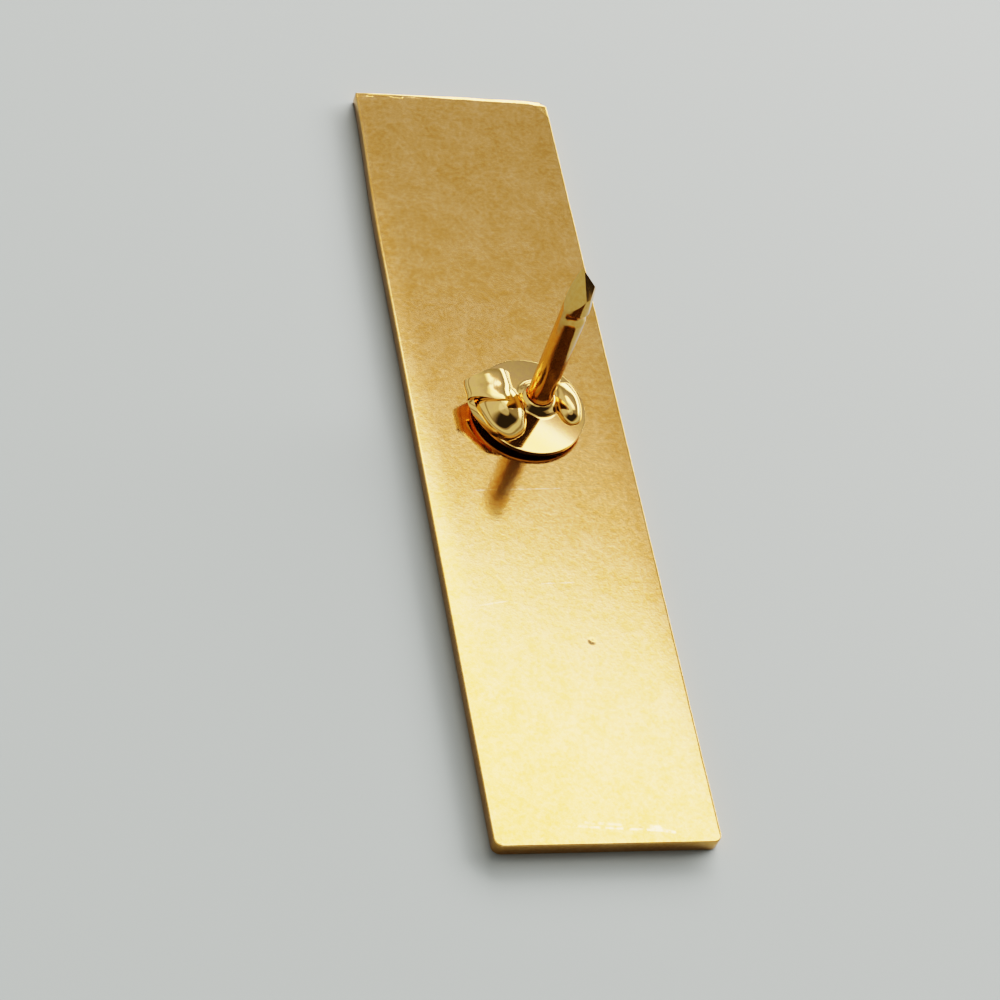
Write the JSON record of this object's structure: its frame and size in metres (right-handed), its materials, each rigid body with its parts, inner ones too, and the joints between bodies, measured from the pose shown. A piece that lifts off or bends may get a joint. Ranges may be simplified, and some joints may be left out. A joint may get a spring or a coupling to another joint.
{
  "type": "lapel pin with its friction clutch",
  "caption": "Plain flat rectangular gold bar lapel pin, lying face down, with a pointed post on its back and a small rolled-ear friction clutch on the post.",
  "frame": {"origin": "middle of the bar's front face, which lies on the surface", "axes": "+Z along the post, away from the front face; +Y along the bar, towards the end that is far from the camera; +X across it to the right"},
  "size_m": [0.01, 0.0424, 0.0098],
  "materials": {
    "gold_bar": "satin",
    "gold_clutch": "polished"
  },
  "bodies": {
    "pin": {"bar_and_post": "gold_bar"},
    "clutch": {"clutch": "gold_clutch"}
  },
  "joints": [
    {"name": "clutch_slide", "type": "slide", "parent": "pin", "child": "clutch", "axis": [0, 0, 1], "range_m": [0, 0.0095]}
  ]
}
